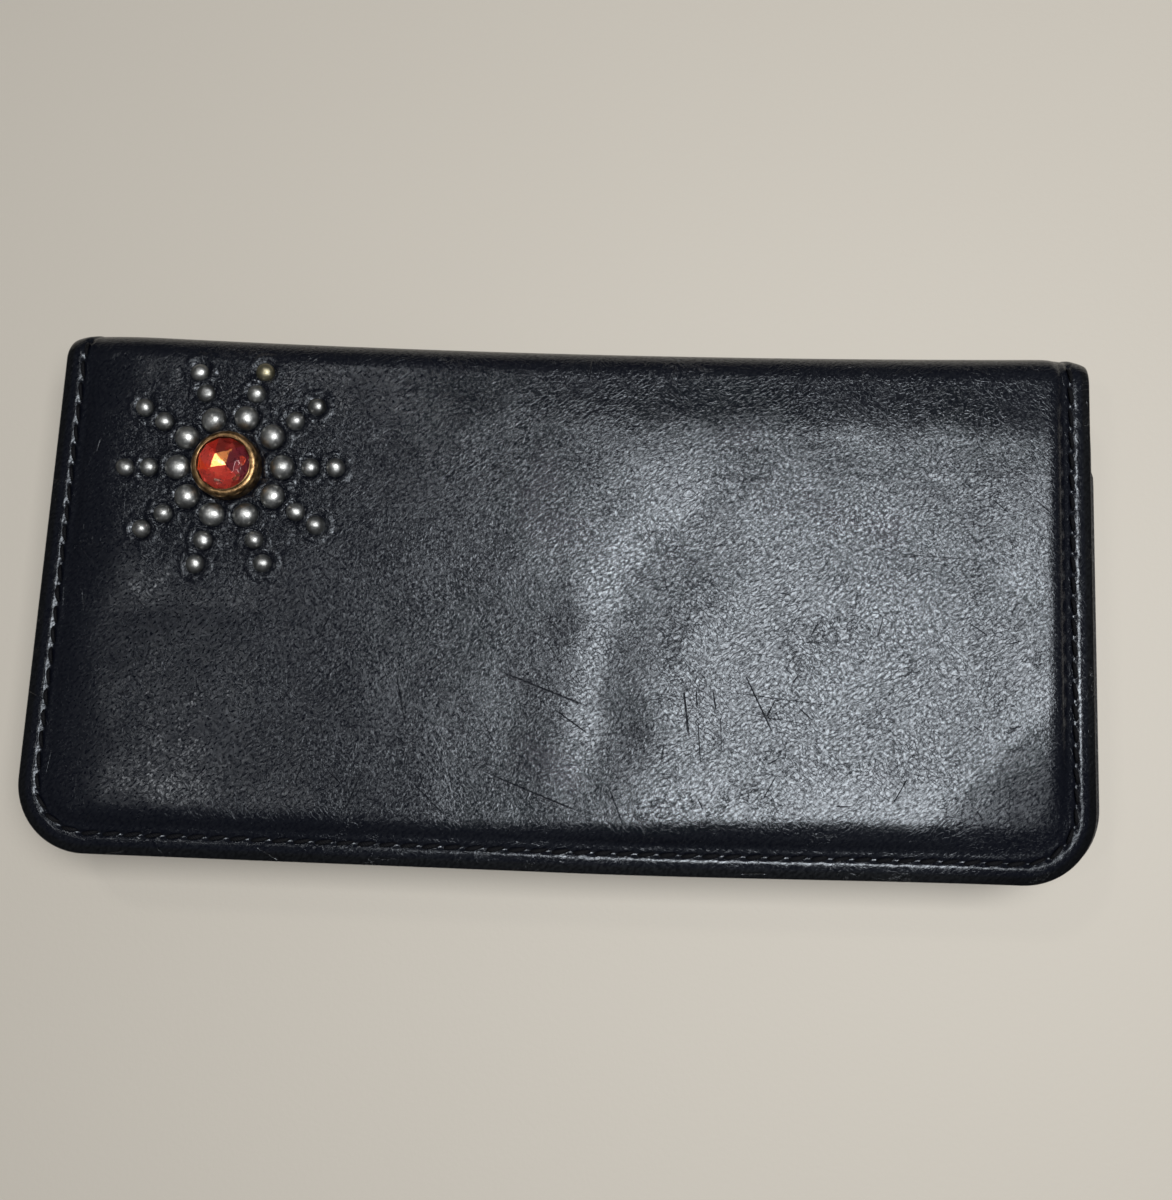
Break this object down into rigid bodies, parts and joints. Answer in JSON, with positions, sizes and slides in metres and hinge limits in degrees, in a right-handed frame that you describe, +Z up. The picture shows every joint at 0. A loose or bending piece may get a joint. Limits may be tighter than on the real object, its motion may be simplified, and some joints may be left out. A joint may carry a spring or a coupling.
{
  "type": "zip around wallet",
  "caption": "Long zip-around wallet of black leather with a studded sunburst and a red glass jewel on its front cover.",
  "frame": {"origin": "centre of the bounding box in plan, on the surface the closed wallet lies on", "axes": "+X along the spine, to the right as the studded cover is seen; +Y from the mouth to the spine; +Z up out of the studded cover"},
  "size_m": [0.2026, 0.1, 0.0285],
  "materials": {
    "leather_outer": "semi-gloss black leather with a fine grain, wrinkles and light scratches",
    "leather_lining": "smooth matte black lining leather",
    "padding": "grey felt",
    "thread": "waxed black thread",
    "zip_tape": "woven black tape",
    "zip_metal": "tumbled nickel",
    "stud_metal": "worn antique pewter",
    "setting_brass": "aged brass",
    "foil": "metal foil",
    "red_glass": "faceted red glass"
  },
  "bodies": {
    "back": {"back_cover": "leather_outer", "back_padding": "padding", "back_lining": "leather_lining", "back_card_panel": "leather_lining", "back_slot_left_1": "leather_lining", "back_slot_left_2": "leather_lining", "back_slot_left_3": "leather_lining", "back_slot_right_1": "leather_lining", "back_slot_right_2": "leather_lining", "back_slot_right_3": "leather_lining", "back_zip_facing": "leather_lining", "back_zip_hem": "zip_tape", "back_zip_tape": "zip_tape", "back_zip_teeth": "zip_metal", "back_stitching": "thread", "zip_end_stops": "zip_metal"},
    "spine": {"spine_leather": "leather_outer", "spine_lining": "leather_lining", "pouch_tongue": "leather_lining", "pouch_upper_wall": "leather_lining", "pouch_lower_wall": "leather_lining", "pouch_left_gusset": "leather_lining", "pouch_right_gusset": "leather_lining", "coin_zip_upper_tape": "zip_tape", "coin_zip_lower_tape": "zip_tape", "coin_zip_upper_teeth": "zip_metal", "coin_zip_lower_teeth": "zip_metal", "coin_zip_end_stops": "zip_metal"},
    "front": {"front_cover": "leather_outer", "front_padding": "padding", "front_lining": "leather_lining", "front_card_panel": "leather_lining", "front_slot_left_1": "leather_lining", "front_slot_left_2": "leather_lining", "front_slot_left_3": "leather_lining", "front_slot_right_1": "leather_lining", "front_slot_right_2": "leather_lining", "front_slot_right_3": "leather_lining", "front_zip_facing": "leather_lining", "front_zip_hem": "zip_tape", "front_zip_tape": "zip_tape", "front_zip_teeth": "zip_metal", "front_stitching": "thread", "large_studs": "stud_metal", "small_studs": "stud_metal", "stud_backing": "padding", "jewel_setting": "setting_brass", "jewel_foil": "foil", "jewel_glass": "red_glass"},
    "zip_slider": {"zip_slider": "zip_metal"},
    "zip_pull": {"zip_pull": "zip_metal"},
    "coin_slider": {"coin_zip_slider": "zip_metal"},
    "coin_pull": {"coin_zip_pull": "zip_metal"}
  },
  "joints": [
    {"name": "spine_fold", "type": "hinge", "parent": "back", "child": "spine", "pos_m": [0, 0.04871, 0.00129], "axis": [-1, 0, 0], "range_deg": [0, 80]},
    {"name": "front_fold", "type": "hinge", "parent": "spine", "child": "front", "pos_m": [0, 0.04871, 0.02271], "axis": [-1, 0, 0], "range_deg": [0, 80]},
    {"name": "zip_slider_travel", "type": "slide", "parent": "back", "child": "zip_slider", "axis": [0, -1, 0], "range_m": [0, 0.058]},
    {"name": "zip_pull_swing", "type": "hinge", "parent": "zip_slider", "child": "zip_pull", "pos_m": [-0.09565, 0.0283, 0.012], "axis": [0, 0, -1], "range_deg": [0, 150]},
    {"name": "coin_slider_travel", "type": "slide", "parent": "spine", "child": "coin_slider", "axis": [1, 0, 0], "range_m": [0, 0.141]},
    {"name": "coin_pull_swing", "type": "hinge", "parent": "coin_slider", "child": "coin_pull", "pos_m": [-0.06954, -0.02264, 0.012], "axis": [0, 0, -1], "range_deg": [0, 150]}
  ],
  "couplings": [
    {"joint": "front_fold", "follows": "spine_fold", "ratio": 1}
  ]
}
